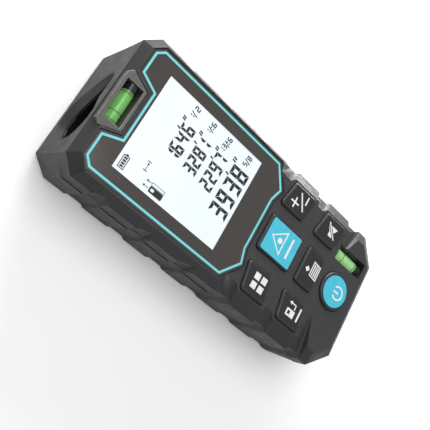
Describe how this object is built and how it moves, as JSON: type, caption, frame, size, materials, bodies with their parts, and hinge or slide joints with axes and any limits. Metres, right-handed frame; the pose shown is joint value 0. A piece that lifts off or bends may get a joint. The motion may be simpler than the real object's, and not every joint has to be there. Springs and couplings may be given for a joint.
{
  "type": "laser distance meter",
  "caption": "Pocket laser distance meter with ribbed casing, lit display, keypad, two spirit levels, tripod socket and a lift-off battery door.",
  "frame": {"origin": "centre of the back face", "axes": "+X to the right of the keypad, +Y towards the laser end, +Z out of the display"},
  "size_m": [0.0496, 0.112, 0.0265],
  "materials": {
    "casing": "fine-textured moulded casing",
    "seal": "soft seal cord",
    "window": "clear polished window",
    "white_plastic": "smooth",
    "display": "lit display glass",
    "ivory_plastic": "smooth",
    "silicone": "matte silicone",
    "nickel": "nickel plate",
    "key_blue": "satin printed key",
    "key_black": "satin key",
    "board": "solder resist",
    "black_plastic": "moulded",
    "steel": "zinc plated",
    "hood_black": "glossy dark liner",
    "lens": "coated optical glass",
    "brass": "machined",
    "grey_plastic": "fine-textured grey",
    "vial_clear": "clear acrylic tube",
    "level_liquid": "tinted level liquid",
    "bubble": "air bubble",
    "cell_wrap": "metal can in a printed sleeve",
    "label": "blank rating plate"
  },
  "bodies": {
    "root": {"front_shell": "casing", "rear_shell": "casing", "shell_gasket": "seal", "display_window": "window", "lcd_frame": "white_plastic", "lcd_panel": "display", "backlight": "white_plastic", "lcd_connector": "ivory_plastic", "keypad_mat": "silicone", "switch_domes": "nickel", "main_board": "board", "processor": "black_plastic", "buzzer": "black_plastic", "board_screws": "steel", "optics_hood": "hood_black", "optics_frame": "black_plastic", "receiver_lens": "lens", "receiver_sensor": "steel", "laser_barrel": "brass", "collimator_lens": "lens", "laser_diode": "brass", "top_vial_frame": "grey_plastic", "top_vial": "vial_clear", "top_vial_plug": "black_plastic", "top_vial_liquid": "level_liquid", "side_vial_cradle": "black_plastic", "side_vial": "vial_clear", "side_vial_plug": "black_plastic", "side_vial_liquid": "level_liquid", "batteries": "cell_wrap", "battery_springs": "nickel", "battery_contacts": "nickel", "tripod_insert": "brass", "shell_screws": "steel", "rear_label": "label"},
    "key_measure": {"key_measure": "key_blue"},
    "key_power": {"key_power": "key_blue"},
    "key_memory": {"key_memory": "key_black"},
    "key_plus_minus": {"key_plus_minus": "key_black"},
    "key_sound": {"key_sound": "key_black"},
    "key_function": {"key_function": "key_black"},
    "key_reference": {"key_reference": "key_black"},
    "battery_door": {"battery_door": "casing"},
    "top_bubble": {"top_vial_bubble": "bubble"},
    "side_bubble": {"side_vial_bubble": "bubble"}
  },
  "joints": [
    {"name": "measure_press", "type": "slide", "parent": "root", "child": "key_measure", "axis": [0, 0, -1], "range_m": [0, 0.0007], "stiffness_N_per_m": 250, "springref_m": -0.001},
    {"name": "power_press", "type": "slide", "parent": "root", "child": "key_power", "axis": [0, 0, -1], "range_m": [0, 0.0007], "stiffness_N_per_m": 250, "springref_m": -0.001},
    {"name": "memory_press", "type": "slide", "parent": "root", "child": "key_memory", "axis": [0, 0, -1], "range_m": [0, 0.0007], "stiffness_N_per_m": 250, "springref_m": -0.001},
    {"name": "plus_minus_press", "type": "slide", "parent": "root", "child": "key_plus_minus", "axis": [0, 0, -1], "range_m": [0, 0.0007], "stiffness_N_per_m": 250, "springref_m": -0.001},
    {"name": "sound_press", "type": "slide", "parent": "root", "child": "key_sound", "axis": [0, 0, -1], "range_m": [0, 0.0007], "stiffness_N_per_m": 250, "springref_m": -0.001},
    {"name": "function_press", "type": "slide", "parent": "root", "child": "key_function", "axis": [0, 0, -1], "range_m": [0, 0.0007], "stiffness_N_per_m": 250, "springref_m": -0.001},
    {"name": "reference_press", "type": "slide", "parent": "root", "child": "key_reference", "axis": [0, 0, -1], "range_m": [0, 0.0007], "stiffness_N_per_m": 250, "springref_m": -0.001},
    {"name": "door_lift", "type": "slide", "parent": "root", "child": "battery_door", "axis": [0, 0, -1], "range_m": [0, 0.014]},
    {"name": "top_bubble_drift", "type": "slide", "parent": "root", "child": "top_bubble", "axis": [1, 0, 0], "range_m": [-0.0024, 0.0024]},
    {"name": "side_bubble_drift", "type": "slide", "parent": "root", "child": "side_bubble", "axis": [0, 1, 0], "range_m": [-0.0024, 0.0024]}
  ]
}
